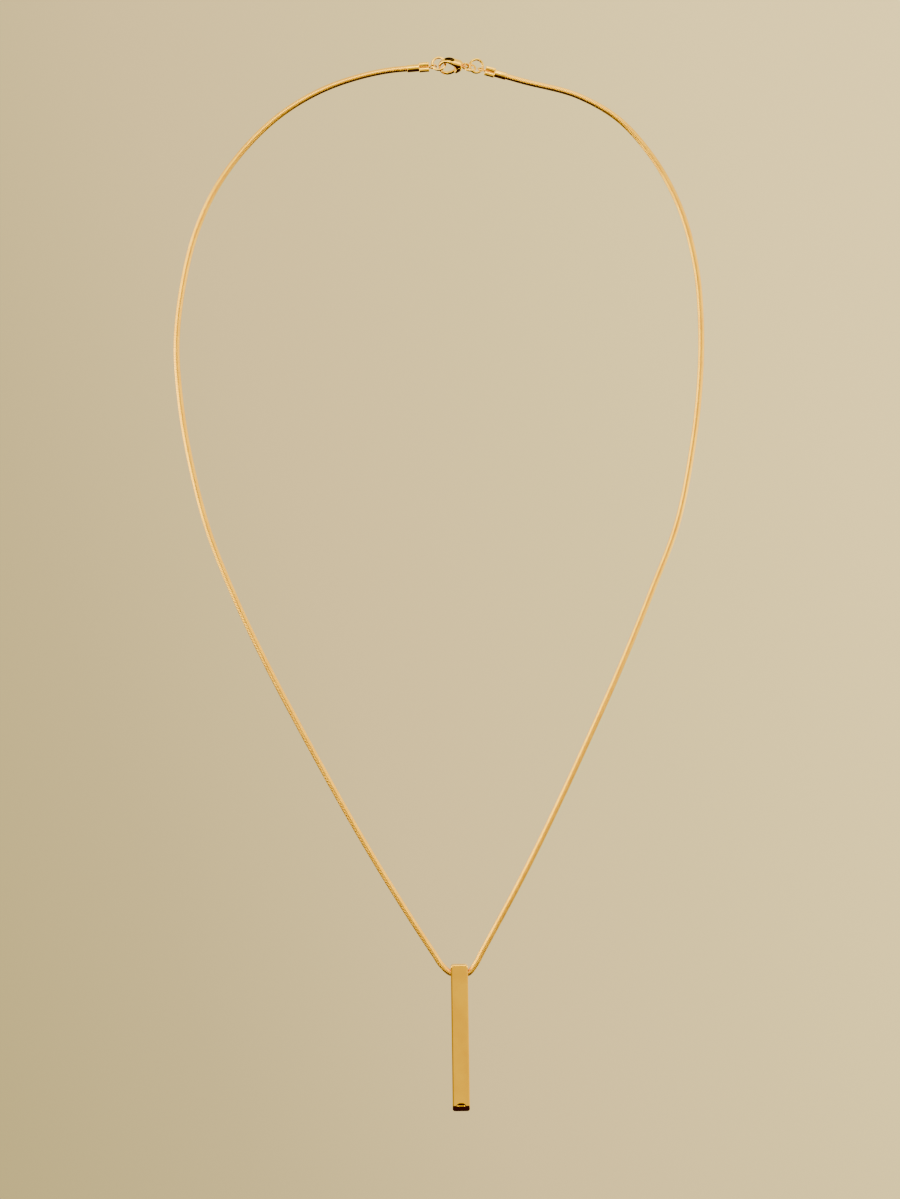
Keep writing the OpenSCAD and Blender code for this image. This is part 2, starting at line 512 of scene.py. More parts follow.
def cut_away(mesh: bpy.types.Mesh, tool: bpy.types.Mesh) -> bpy.types.Mesh:
    """The mesh with the tool's closed shape cut out of it.

    Args:
        mesh: closed mesh to cut.
        tool: closed mesh that is taken away.

    Returns:
        A new mesh.
    """
    whole, cutter = (linked(m.name, m) for m in (mesh, tool))
    step = whole.modifiers.new("cut", "BOOLEAN")
    step.operation, step.solver, step.object = "DIFFERENCE", "EXACT", cutter
    step.material_mode = "TRANSFER"
    graph = bpy.context.evaluated_depsgraph_get()
    made = bpy.data.meshes.new_from_object(whole.evaluated_get(graph), depsgraph=graph)
    for each in (whole, cutter):
        bpy.data.objects.remove(each)
    return made


def show(name: str, mesh: bpy.types.Mesh, body: Body, node: str, crease: float = 35.0) -> None:
    """Makes a mesh a dressed piece that stands for a CAD node.

    Args:
        name: name of the piece.
        mesh: its mesh, in metres in the frame.
        body: the body that it rides on.
        node: the CAD node that it replaces.
        crease: angle in degrees past which an edge is shaded sharp.
    """
    mesh.shade_smooth()
    mesh.set_sharp_from_angle(angle=math.radians(crease))
    piece = linked(name, mesh)
    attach(piece, body.value)
    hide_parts(node)
    LOG.info("%s: %d faces, on %s", name, len(mesh.polygons), body.value)


# The chain

# Centre line from the left crimp round the pendant's hole to the right crimp, as (x, z)
ROUTE = np.array(
    [
        [-9.5, -0.2], [-17, -0.9], [-26, -2.9], [-35, -6.2], [-46, -12.8], [-56, -22.4], [-63, -32.2],
        [-68, -43], [-72, -59], [-73.5, -73], [-72.5, -89], [-69.5, -106.5], [-65, -123.5], [-58.5, -140],
        [-50, -158], [-40, -177], [-18, -215.6], [-5, -235.9], [-2.9, -239], [-0.7, -240.9],
        [1.7, -241.4], [4.1, -240.9], [6, -238.6], [7.5, -235.8], [18, -216.3], [36, -178.8],
        [45, -158.6], [53, -139], [59.5, -121.8], [63.5, -102.5], [65.6, -84.5], [66, -70], [64.5, -52.5],
        [60, -36.5], [52.5, -23.2], [43, -13.1], [34, -8], [18, -3.6], [11.5, -1.75],
    ]
)  # fmt: skip


@dataclass
class SnakeChain:
    """Round snake chain: close wavy rings of sheet, each bulged between two grooves.

    Attributes:
        diameter: diameter over the rings.
        pitch: length of one ring along the chain.
        groove: depth of the groove between two rings.
        flatness: power along a ring, the higher the flatter it is between its grooves.
        crests: crests of a ring round the chain.
        wave: how far the crests lead along the chain.
        meeting_gap: gap between the two strands inside the bar's hole.
        sides: columns round the chain.
        rows: places of the rows of points along one ring, from -1 at its first groove to 1 at the next.
        steps: points of the centre line between two points of the route.
        under_bar: place along the route where the chain lies in the bar's hole.
    """

    diameter: float = 1.6
    pitch: float = 0.45
    groove: float = 0.04
    flatness: int = 8
    crests: int = 4
    wave: float = 0.07
    meeting_gap: float = 0.01
    sides: int = 20
    rows: tuple[float, ...] = (-1.0, -0.9, -0.7, 0.0, 0.7, 0.9)
    steps: int = 60
    under_bar: Pair = (1.7, -241.4)

    def centre_line(self) -> tuple[Array, Array]:
        """The smooth curve through the route: cubics whose slopes are weighted by the steps beside a point.

        Returns:
            Points (x, z) and their distance along the curve.
        """
        step = np.diff(ROUTE, axis=0)
        length = np.linalg.norm(step, axis=-1, keepdims=True)
        way = step / length
        inner = (way[1:] * length[:-1] + way[:-1] * length[1:]) / (length[1:] + length[:-1])
        slope = np.concatenate([way[:1], inner, way[-1:]])
        t = np.linspace(0.0, 1.0, self.steps, endpoint=False)[None, :, None]
        curve = (
            ROUTE[:-1, None] * (2 * t**3 - 3 * t**2 + 1)
            + (slope[:-1] * length)[:, None] * (t**3 - 2 * t**2 + t)
            + ROUTE[1:, None] * (3 * t**2 - 2 * t**3)
            + (slope[1:] * length)[:, None] * (t**3 - t**2)
        )
        curve = np.concatenate([curve.reshape(-1, 2), ROUTE[-1:]])
        far = np.concatenate([[0.0], np.cumsum(np.linalg.norm(np.diff(curve, axis=0), axis=-1))])
        return curve, far

    def strand(self, start: float, end: float) -> Shell:
        """One stretch of chain between two distances along the centre line.

        Along a ring the radius is the full one less groove u^flatness, with u from -1 to 1, so a ring is
        nearly flat between narrow grooves. Round the chain a row is shifted along it by wave cos(crests a).

        Args:
            start, end: distances of its ends.

        Returns:
            The ribbed strand.
        """
        curve, far = self.centre_line()
        count = round((end - start) / self.pitch)
        u = np.append(np.tile(self.rows, count), -1.0)
        ring = np.append(np.repeat(np.arange(count), len(self.rows)), count)
        s = start + (ring + (u + 1.0) / 2.0) * (end - start) / count
        radius = self.diameter / 2.0 - self.groove * u**self.flatness
        a = full_turn(self.sides) + np.pi / self.sides
        fade = np.clip(np.minimum(s - start, end - s) / self.pitch, 0.0, 1.0)
        place = s[:, None] + self.wave * fade[:, None] * np.cos(self.crests * a)[None, :]
        way = np.gradient(curve, far, axis=0)
        way = way / np.linalg.norm(way, axis=-1, keepdims=True)
        x, z, dx, dz = (np.interp(place, far, values) for values in (*curve.T, *way.T))
        out = radius[:, None] * np.cos(a)[None, :]
        return Shell.from_rings(x - dz * out, radius[:, None] * np.sin(a)[None, :], z + dx * out)

    def build(self) -> None:
        """Makes the two strands, which meet in the bar's hole."""
        curve, far = self.centre_line()
        middle = far[np.argmin(np.linalg.norm(curve - np.array(self.under_bar), axis=-1))]
        near, past = middle - self.meeting_gap / 2.0, middle + self.meeting_gap / 2.0
        for name, start, end in (("chain_left_strand", 0.0, near), ("chain_right_strand", past, far[-1])):
            mesh = make_mesh(name, [self.strand(start, end)], CHAIN_GOLD)
            show(name, mesh, Body.NECKLACE, "snake_chain", crease=80.0)
        LOG.info("chain length %.1f mm", far[-1])


# The pendant


@dataclass
class BarPendant:
    """Square bar with rounded edges and ends, and a cross hole with an eased rim.

    Attributes:
        width: width and depth.
        length: length.
        edge_r, end_r: radius of the long edges, and of the end corners seen from the front.
        top_side_r: radius of the top's corners seen from the side.
        foot_h: height of the foot's rounding seen from the side.
        foot_start: angle in degrees at which that rounding leaves the face, a crisp line.
        hole_d, hole_ease: diameter of the cross hole and radius of its rim.
        hole_drop, hole_at: depth of its axis below the top, and its centre.
        lean: lean in the plane of the necklace, in degrees.
        dish: height of the top and foot of the small arched dish above the foot, and its half width.
        dish_slope: how much deeper the dish gets per millimetre down.
        dish_lip: height over which the dish comes back out at its foot.
        face_steps, side_steps: points across the front and the back, close for the dish, and the sides.
    """

    width: float = 4.6
    length: float = 39.2
    edge_r: float = 0.45
    end_r: float = 0.8
    top_side_r: float = 0.5
    foot_h: float = 1.7
    foot_start: float = 20.0
    hole_d: float = 2.8
    hole_ease: float = 0.22
    hole_drop: float = 2.7
    hole_at: Triple = (1.7, 0.0, -241.2)
    lean: float = -0.8
    dish: Triple = (2.4, 1.7, 1.35)
    dish_slope: float = 0.22
    dish_lip: float = 0.12
    face_steps: int = 44
    side_steps: int = 6

    def section(self) -> Array:
        """Points of the bar's rounded square section.

        Returns:
            Points (x, y), anticlockwise.
        """
        half, r = self.width / 2.0, self.edge_r
        a = quarter_turn(9)
        arc = np.stack([half - r + r * np.cos(a), half - r + r * np.sin(a)], -1)
        x, y = (np.linspace(half - r, r - half, n + 2)[1:-1] for n in (self.face_steps, self.side_steps))
        flat = np.stack([x, np.full_like(x, half)], -1)
        side = np.stack([np.full_like(y, -half), y], -1)
        mirrored = np.stack([-arc[::-1, 0], arc[::-1, 1]], -1)
        upper = np.concatenate([arc, flat, mirrored])
        return np.concatenate([upper, side, -upper, -side])

    def stations(self) -> Array:
        """Distances from the top at which the section is set, close together at the ends.

        Returns:
            Distances, from 0 to the bar's length.
        """
        end_steps, middle_steps, dish_steps, dish_margin = 30, 30, 40, 0.1
        reach = 2.0 * self.foot_h
        near = reach * (1.0 - np.cos(quarter_turn(end_steps)))
        middle = np.linspace(reach, self.length - reach, middle_steps)
        top, foot, _ = self.dish
        close = np.linspace(foot - self.dish_lip, top + dish_margin, dish_steps)
        crisp = [self.length - self.foot_h]
        return np.unique(np.concatenate([near, middle, self.length - near, self.length - close, crisp]))

    def foot_cut(self, height: Array) -> Array:
        """How much the foot's rounding takes from the half depth at a height above the foot.

        It is an arc of radius r = foot_h / (1 - sin a) that starts at angle a and takes
        r cos a - sqrt(r^2 - (r sin a + rise)^2), where rise is how far the height lies below foot_h.

        Args:
            height: heights above the foot.

        Returns:
            The cuts.
        """
        a = math.radians(self.foot_start)
        r = self.foot_h / (1.0 - math.sin(a))
        rise = np.clip(self.foot_h - height, 0.0, None)
        return r * math.cos(a) - np.sqrt(np.clip(r**2 - (r * math.sin(a) + rise) ** 2, 0.0, None))

    @staticmethod
    def corner_cut(r: float, t: Array) -> Array:
        """What a corner of radius r takes at distance t < r from the end: r - sqrt(r^2 - (r - t)^2)."""
        return r - np.sqrt(r**2 - np.clip(r - t, 0.0, r) ** 2)

    def blank(self) -> Shell:
        """The bar without its hole.

        The corners cut back its width at both ends and its depth at the top, and the rounding its depth at
        the foot. Above the foot the dish takes slope (edge - up) more, where up is the height above the foot
        and the edge is the arch top - (top - foot) |x / half width|^3. Over its lip it comes back out.

        Returns:
            The blank, its hole's centre at the origin.
        """
        half = self.width / 2.0
        section = self.section()[None]
        down = self.stations()[:, None]
        up = self.length - down
        side_cut = self.corner_cut(self.end_r, np.minimum(down, up))
        face_cut = np.where(down < up, self.corner_cut(self.top_side_r, down), self.foot_cut(up))
        x = section[..., 0] * (1.0 - side_cut / half)
        top, foot, arch = self.dish
        edge = top - (top - foot) * np.abs(x / arch) ** 3
        lip = np.clip((up - foot + self.dish_lip) / self.dish_lip, 0.0, 1.0)
        dip = self.dish_slope * np.clip(edge - np.maximum(up, foot), 0.0, None) * lip
        y = section[..., 1] * (1.0 - (face_cut + dip) / half)
        return Shell.from_rings(x, y, self.hole_drop - down)

    def hole(self) -> Shell:
        """Cutter for the hole: a rod along X that flares by quarter circles at the bar's sides.

        Returns:
            The cutter, centred on the origin.
        """
        half, r, ease, beyond = self.width / 2.0, self.hole_d / 2.0, self.hole_ease, 1.0
        a = quarter_turn(8)
        xs = half - ease + ease * np.sin(a)
        rs = r + ease * (1.0 - np.cos(a))
        side = np.concatenate([np.stack([xs, rs], -1), [[half + beyond, rs[-1] + beyond]]])
        return lathe(np.concatenate([side[::-1] * [-1.0, 1.0], side]), 64)

    def build(self) -> None:
        """Makes the bar."""
        turn = turn_matrix(about_y=self.lean)
        blank, hole = (
            make_mesh(name, [shell.placed(turn, self.hole_at)], BAR_GOLD)
            for name, shell in (("bar_blank", self.blank()), ("bar_hole", self.hole()))
        )
        show("polished_bar", cut_away(blank, hole), Body.PENDANT, "bar_pendant", crease=15.0)


# The findings


@dataclass
class WireRing:
    """Round wire ring with a hairline cut, pitched about X and then turned about Z from face-on.

    Attributes:
        node: the CAD node that it replaces.
        at: its centre.
        pitch, turn: degrees about X and then about Z.
        outer_d, wire: its outer diameter and that of its wire.
        cut_at, cut: direction in degrees and width of the cut.
    """

    node: str
    at: Triple
    pitch: float
    turn: float
    outer_d: float = 4.13
    wire: float = 0.66
    cut_at: float = 100.0
    cut: float = 0.03

    def shape(self) -> Shell:
        """The ring about Z: towards its ends the wire's radius falls as a quarter circle, for soft edges.

        Returns:
            The ring.
        """
        ease, steps, sides = 0.06, 96, 24
        wire_r, mean_r = self.wire / 2.0, (self.outer_d - self.wire) / 2.0
        half = self.cut / 2.0 / mean_r
        near = np.array([0.0, 0.15, 0.5, 1.0]) * ease / mean_r
        span = 2.0 * np.pi - 2.0 * half
        a = np.concatenate([near, np.linspace(near[-1], span - near[-1], steps + 1)[1:-1], span - near[::-1]])
        inset = np.clip(1.0 - np.minimum(a, span - a) * mean_r / ease, 0.0, 1.0)
        r = (wire_r - ease * (1.0 - np.sqrt(1.0 - inset**2)))[:, None]
        angle = (a + half + math.radians(self.cut_at))[:, None]
        b = full_turn(sides)[None, :]
        out = mean_r + r * np.cos(b)
        return Shell.from_rings(out * np.cos(angle), out * np.sin(angle), r * np.sin(b))

    def build(self) -> None:
        """Makes the ring."""
        placed = self.shape().placed(turn_matrix(90.0 + self.pitch, 0.0, self.turn), self.at)
        mesh = make_mesh(self.node, [placed], FINDING_GOLD)
        show(f"{self.node}_wire", mesh, Body.NECKLACE, self.node)


@dataclass
class Crimp:
    """Chain end: an eye on a stem, a tab of two wings over a back plate, and a tube that holds the chain.

    It is drawn along +X from its eye, then turned about Y onto the chain.

    Attributes:
        node: the CAD node that it replaces.
        at: centre of the eye.
        turn_y: degrees about Y onto the chain.
        eye_pitch: degrees by which the eye is pitched about X.
        eye_d, eye_wire: outer diameter and wire of the eye.
        stem_d: diameter of the stem.
        stem_reach: how far the stem reaches past the eye.
        sink: how far the stem starts inside the centre line of the eye's wire.
        tab_gap: gap between the eye and the tab.
        tab_l, tab_h: length and height of the tab.
        groove: gap between the two wings.
        wing_y: depth of the wings' middle.
        wing_form: squareness of a wing's section and radius of its ends.
        back_y: depth of the back plate's rear face.
        back_form: squareness of the plate's section and radius of its ends.
        back_inset: how far the plate stays inside the tab along X and Z.
        tube_l, tube_d: length and outer diameter of the tube.
        tube_lap: how far the tube's closed end lies inside the tab.
        dome_r: radius of its closed end's edge.
        bore_d, cap: diameter of its bore and thickness of its closed end.
    """

    node: str
    at: Triple
    turn_y: float
    eye_pitch: float
    eye_d: float = 2.04
    eye_wire: float = 0.4
    stem_d: float = 0.7
    stem_reach: float = 0.3
    sink: float = 0.05
    tab_gap: float = 0.05
    tab_l: float = 2.7
    tab_h: float = 2.6
    groove: float = 0.12
    wing_y: float = -0.1
    wing_form: Pair = (2.6, 0.16)
    back_y: float = 0.55
    back_form: Pair = (7.0, 0.08)
    back_inset: Pair = (0.02, 0.1)
    tube_l: float = 3.1
    tube_d: float = 1.98
    tube_lap: float = 0.15
    dome_r: float = 0.25
    bore_d: float = 1.72
    cap: float = 0.3

    @property
    def tab_start(self) -> float:
        """Distance of the tab from the eye's centre."""
        return self.eye_d / 2.0 + self.tab_gap

    def tab(self) -> list[Shell]:
        """Two flattened wings side by side and the plate behind them.

        Returns:
            The tab's shells.
        """
        start, end = self.tab_start, self.tab_start + self.tab_l
        half = (self.tab_h - self.groove) / 4.0
        shift = half + self.groove / 2.0
        wing = rounded_bar(start, end, half, half, *self.wing_form)
        wings = [wing.placed(turn_matrix(), (0.0, self.wing_y, side * shift)) for side in (-1.0, 1.0)]
        along, across = self.back_inset
        half_y, half_z = (self.back_y - self.wing_y) / 2.0, self.tab_h / 2.0 - across
        plate = rounded_bar(start + along, end - along, half_y, half_z, *self.back_form)
        return [*wings, plate.placed(turn_matrix(), (0.0, self.wing_y + half_y, 0.0))]

    def tube(self) -> Shell:
        """The turned tube: closed and domed at the tab, open with a rounded rim at the chain.

        Returns:
            The tube.
        """
        tab_end, axis_r = self.tab_start + self.tab_l, 0.02
        start, end, floor = tab_end - self.tube_lap, tab_end + self.tube_l, tab_end + self.cap
        r, bore = self.tube_d / 2.0, self.bore_d / 2.0
        a = quarter_turn(8)
        dome = np.stack([start + self.dome_r * (1.0 - np.cos(a)), r - self.dome_r * (1.0 - np.sin(a))], -1)
        half = (r - bore) / 2.0
        b = np.linspace(np.pi / 2.0, -np.pi / 2.0, 11)
        rim = np.stack([end - half + half * np.cos(b), bore + half + half * np.sin(b)], -1)
        return lathe(np.concatenate([[[start, axis_r]], dome, rim, [[floor, bore], [floor, axis_r]]]), 48)

    def build(self) -> None:
        """Makes the crimp."""
        wire_at, stem_r = (self.eye_d - self.eye_wire) / 2.0, self.stem_d / 2.0
        eye = closed_ring(self.eye_d, self.eye_wire, 20, self.eye_pitch, (0.0, 0.0, 0.0))
        stem_end = self.eye_d / 2.0 + self.stem_reach
        stem = rounded_bar(wire_at - self.sink, stem_end, stem_r, stem_r, power=2.0, ease=0.12)
        shells = [eye, stem, *self.tab(), self.tube()]
        turn = turn_matrix(about_y=self.turn_y)
        mesh = make_mesh(self.node, [s.placed(turn, self.at) for s in shells], FINDING_GOLD)
        show(f"{self.node}_folded", mesh, Body.NECKLACE, self.node)


@dataclass
class LobsterClasp:
    """Lobster clasp in its own plane, its nose at -X, its eye at +X and its spine at +Z, tilted about X.

    Attributes:
        at: its place in the frame.
        tilt: degrees about X.
        claw: outline of the claw, from its nose to its heel.
        mouth: outline of its mouth.
        hub: point in the mouth from which walls are measured.
        tip: directions in degrees from the hub to the ends of the slanted face at the nose's tip.
        cheek: direction from the hub to the end of the cheeks.
        plan: half depth at places along the clasp, as (x, half depth).
        slot: outline of the slot between the cheeks.
        hollow: outline of the hollow in the spine, as (x, y); its walls carry near-black painted shade.
        hollow_z: floor and top of the hollow's cutter.
        pin, pin_d: place and diameter of the riveted pin.
        head: how far the pin's domed head reaches past its side and past the cheeks.
        eye_at, eye_d, eye_wire: centre, outer diameter and wire of the eye.
        lever_depth: depth of the lever.
        lever_end: direction from the hub to the end of the lever's band.
        arm, thumb: outlines of the lever's arm, from the pin down, and of its thumb tab.
        run_gap, pin_gap: clearances of the lever in the clasp and round the pin.
        squareness: squareness of the claw's section, how much squarer it is at the cheeks, and the lever's.
        cheek_share: shares of the claw's sweep between which it turns squarer.
        blunt: share by which the section shrinks towards an end face, and rows over which it does.
    """

    at: Triple = (-0.1, 0.0, 0.2)
    tilt: float = 42.0
    claw: Hull = Hull((-1.3, 0.0), 2.5, (1.8, 0.4), 1.1)
    mouth: Hull = Hull((-1.55, -0.2), 1.6, (0.0, -0.3), 0.8)
    hub: Pair = (-0.9, -0.25)
    tip: Pair = (206.6, 246.1)
    cheek: float = -33.0
    plan: tuple[Pair, ...] = (
        (-4.2, 0.45), (-3.2, 0.6), (-2.0, 0.8), (-0.9, 1.25), (0.2, 1.38), (2.1, 1.35), (2.95, 0.42),
    )  # fmt: skip
    slot: tuple[Pair, ...] = (
        (-0.3, -4.0), (2.35, -4.0), (2.35, 0.0), (2.2, 0.38),
        (1.9, 0.6), (1.5, 0.6), (1.2, 0.4), (-0.3, 0.35),
    )  # fmt: skip
    hollow: Hull = Hull((-1.6, 0.0), 0.6, (-0.3, 0.0), 0.85)
    hollow_z: Pair = (1.66, 3.2)
    pin: Pair = (1.7, 0.0)
    pin_d: float = 0.5
    head: Pair = (0.09, 0.08)
    eye_at: Pair = (3.4, 0.1)
    eye_d: float = 2.14
    eye_wire: float = 0.54
    lever_depth: float = 0.9
    lever_end: float = 322.0
    arm: Hull = Hull((1.7, 0.0), 0.55, (0.85, -1.22), 0.38)
    thumb: Hull = Hull((0.85, -1.3), 0.36, (0.53, -2.08), 0.14)
    run_gap: float = 0.08
    pin_gap: float = 0.06
    squareness: Triple = (2.6, 4.0, 4.0)
    cheek_share: Pair = (0.72, 0.86)
    blunt: Pair = (0.16, 4.0)

    def reach(self, angle: Array, hull: Hull) -> Array:
        """Distance from the hub to a hull's outline in each direction, found by halving a span past it.

        Args:
            angle: directions in radians.
            hull: the hull.

        Returns:
            Distances.
        """
        halvings, past = 50, 8.0
        way = np.stack([np.cos(angle), np.sin(angle)], -1)
        low, high = np.zeros_like(angle), np.full_like(angle, past)
        for _ in range(halvings):
            middle = (low + high) / 2.0
            inside = hull.distance(np.array(self.hub) + middle[..., None] * way) < 0.0
            low, high = np.where(inside, middle, low), np.where(inside, high, middle)
        return low

    def half_depth(self, x: Array) -> Array:
        """Half depth of the clasp at places along it, in straight steps between the plan's points."""
        plan = np.array(self.plan)
        return np.interp(x, plan[:, 0], plan[:, 1])

    def band(
        self, start: float, end: float, skew: float, settle: float, rows: int, depth: float | None = None
    ) -> Shell:
        """A wall between the mouth and the clasp's outline, from one direction to another.

        A point at direction a and share w of the wall lies inner (1 - w) + outer w from the hub. The first
        face is slanted: a grows by skew w (1 - u / settle)^2, where u is the share of the sweep.

        Args:
            start, end: directions in degrees of the first face, at the mouth, and of the last one.
            skew: slant of the first face, in degrees.
            settle: share of the sweep over which the slant dies away.
            rows: steps along the wall.
            depth: a constant half depth, or None for the clasp's plan.

        Returns:
            The wall.
        """
        u = np.linspace(0.0, 1.0, rows)[:, None]
        low, high = self.cheek_share
        rise = np.clip((u - low) / (high - low), 0.0, 1.0)
        claw, squarer, lever = self.squareness
        power = np.full_like(u, lever) if depth else claw + squarer * rise * rise * (3.0 - 2.0 * rise)
        t = full_turn(80)[None, :]
        shrink, shrink_rows = self.blunt
        from_end = np.clip(np.minimum(u, 1.0 - u) * rows / shrink_rows, 0.0, 1.0)
        swell = np.sqrt(1.0 - (1.0 - from_end) ** 2) * shrink + 1.0 - shrink
        w = 0.5 + 0.5 * squared(np.cos(t), power) * swell
        v = squared(np.sin(t), power) * swell
        a = start + (end - start) * u + skew * w * np.clip(1.0 - u / settle, 0.0, 1.0) ** 2
        angle = np.radians(a)
        far = self.reach(angle, self.mouth) * (1.0 - w) + self.reach(angle, self.claw) * w
        x = self.hub[0] + far * np.cos(angle)
        z = self.hub[1] + far * np.sin(angle)
        half_depth = np.full_like(x, depth) if depth else self.half_depth(x)
        return Shell.from_rings(x, v * half_depth, z)

    def pocket(self) -> Shell:
        """Cutter for the slot between the cheeks, in which the lever's root turns."""
        return rounded_plate(np.array(self.slot), self.lever_depth / 2.0 + self.run_gap, ease=0.01)

    def hollow_cutter(self) -> Shell:
        """Cutter for the hollow in the spine's outer wall.

        Returns:
            The cutter.
        """
        floor, top = self.hollow_z
        plate = rounded_plate(self.hollow.outline(72), (top - floor) / 2.0, ease=0.2)
        return plate.placed(turn_matrix(90.0), (0.0, 0.0, (top + floor) / 2.0))

    def at_pin(self, profile: Array) -> Shell:
        """A profile turned about the pin's axis."""
        return lathe(profile, 32).placed(turn_matrix(about_z=90.0), (self.pin[0], 0.0, self.pin[1]))

    def rivet(self) -> Shell:
        """The pin through the cheeks, with a low dome at each end.

        Returns:
            The pin along Y.
        """
        over, rise = self.head
        half, r = float(self.half_depth(np.array(self.pin[0]))), self.pin_d / 2.0
        sink, neck, axis_r = 0.02, 0.1, 0.004
        a = quarter_turn(6)
        head_x = half - sink + (rise + sink) * np.cos(a)
        head = np.stack([head_x, (r + over) * np.sin(a) + axis_r], -1)
        side = np.concatenate([head, [[half - neck, r + over], [half - neck, r]]])
        return self.at_pin(np.concatenate([side * [-1.0, 1.0], side[::-1]]))

    def part(self, name: str, shells: Sequence[Shell], finish: GoldFinish = FINDING_GOLD) -> bpy.types.Mesh:
        """Puts shells into one mesh, tilted and placed in the frame."""
        return make_mesh(name, [s.placed(turn_matrix(self.tilt), self.at) for s in shells], finish)

    def body_mesh(self) -> bpy.types.Mesh:
        """The claw with its cheeks cut open for the lever, the eye and the rivet.

        Returns:
            The mesh, in the frame.
        """
        claw = self.band(self.tip[0], self.cheek, self.tip[1] - self.tip[0], settle=0.25, rows=220)
        cut = cut_away(self.part("claw_blank", [claw]), self.part("claw_slot", [self.pocket()]))
        # The hollow's cut walls take the near-black painted-shade finish.
        cut = cut_away(cut, self.part("claw_hollow", [self.hollow_cutter()], HOLLOW_PAINTED_SHADE))
        eye = closed_ring(self.eye_d, self.eye_wire, 24, 0.0, (self.eye_at[0], 0.0, self.eye_at[1]))
        work = bmesh.new()
        work.from_mesh(cut)
        work.from_mesh(self.part("claw_extra", [eye, self.rivet()]))
        whole = bpy.data.meshes.new("lobster_claw")
        work.to_mesh(whole)
        work.free()
        # Slots: the gold, and the painted shade on the hollow's walls.
        for finish in (FINDING_GOLD, HOLLOW_PAINTED_SHADE):
            whole.materials.append(finish.material())
        return whole

    def lever_mesh(self) -> bpy.types.Mesh:
        """The lever: its band under the mouth, its arm to the pin and its thumb tab.

        Returns:
            The mesh, in the frame.
        """
        half, (low, high) = self.lever_depth / 2.0, self.tip
        arm_inset, thumb_inset = 0.01, 0.02
        face_lean = math.radians(60.0)
        gap = math.degrees(self.run_gap / self.mouth.first_r / math.cos(face_lean))
        band = self.band(low + gap, self.lever_end, high - low, settle=1.0, rows=120, depth=half)
        arm = rounded_plate(self.arm.outline(64), half - arm_inset, ease=0.12)
        thumb = rounded_plate(self.thumb.outline(48), half - thumb_inset, ease=0.1)
        axis_r, bore_r, beyond = 0.01, self.pin_d / 2.0 + self.pin_gap, 1.0
        profile = np.array([[-beyond, axis_r], [-beyond, bore_r], [beyond, bore_r], [beyond, axis_r]])
        trigger = self.part("trigger", [band, arm, thumb])
        return cut_away(trigger, self.part("trigger_bore", [self.at_pin(profile)]))

    def build(self) -> None:
        """Makes the clasp's body and its lever."""
        show("lobster_claw", self.body_mesh(), Body.NECKLACE, "clasp_body")
        show("trigger_lever", self.lever_mesh(), Body.LEVER, "clasp_lever")


# The studio


@dataclass(frozen=True)
class SoftBox:
    """A rectangular area light of even radiance, hidden from the camera.

    Attributes:
        name: its name.
        at: its middle.
        size: its width and height.
        radiance: its radiance, in the surround's unit.
        facing: the direction that it shines in.
        colour: its colour.
    """

    name: str
    at: Triple
    size: Pair
    radiance: float
    facing: Triple
    colour: Triple = (1.0, 0.85, 0.4)

    def build(self) -> None:
        """Adds the light."""
        data = bpy.data.lights.new(self.name, "AREA")
        data.shape = "RECTANGLE"
        data.size, data.size_y = self.size[0] * MM, self.size[1] * MM
        data.energy = self.radiance * math.pi * data.size * data.size_y
        data.color = self.colour
        lamp = linked(self.name, data)
        lamp.location = Vector(self.at) * MM
        lamp.rotation_euler = Vector(self.facing).to_track_quat("-Z", "Y").to_euler()
        lamp.visible_camera = False


@dataclass(frozen=True)
class Oval:
    """A level matt oval about X = 0.

    Attributes:
        name: its name.
        half: half its width along X.
        front, rear: Y of its front and rear end.
        height: its Z.
        colour: its colour.
    """

    name: str
    half: float
    front: float
    rear: float
    height: float
    colour: Triple = (0.012, 0.002, 0.001)

    def build(self) -> bpy.types.Object:
        """Adds the oval to the stage.

        Returns:
            The oval.
        """
        t = full_turn(96)
        y = (self.rear - self.front) / 2.0 * np.sin(t) + (self.front + self.rear) / 2.0
        rim = np.stack([self.half * np.cos(t), y, np.full_like(t, self.height)], -1)
        mesh = bpy.data.meshes.new(self.name)
        mesh.from_pydata((rim * MM).tolist(), [], [list(range(len(rim)))])
        paint = bpy.data.materials.new(f"{self.name}_paint")
        paint.use_nodes = True
        kit, shader = NodeKit(paint.node_tree), paint.node_tree.nodes["Principled BSDF"]
        kit.feed(shader, Base_Color=(*self.colour, 1.0), Roughness=0.9, Specular_IOR_Level=0.0)
        mesh.materials.append(paint)
        oval = linked(self.name, mesh)
        return oval


LEFTWARDS, RIGHTWARDS, DOWNWARDS = (-1.0, 0.0, 0.0), (1.0, 0.0, 0.0), (0.0, 0.0, -1.0)


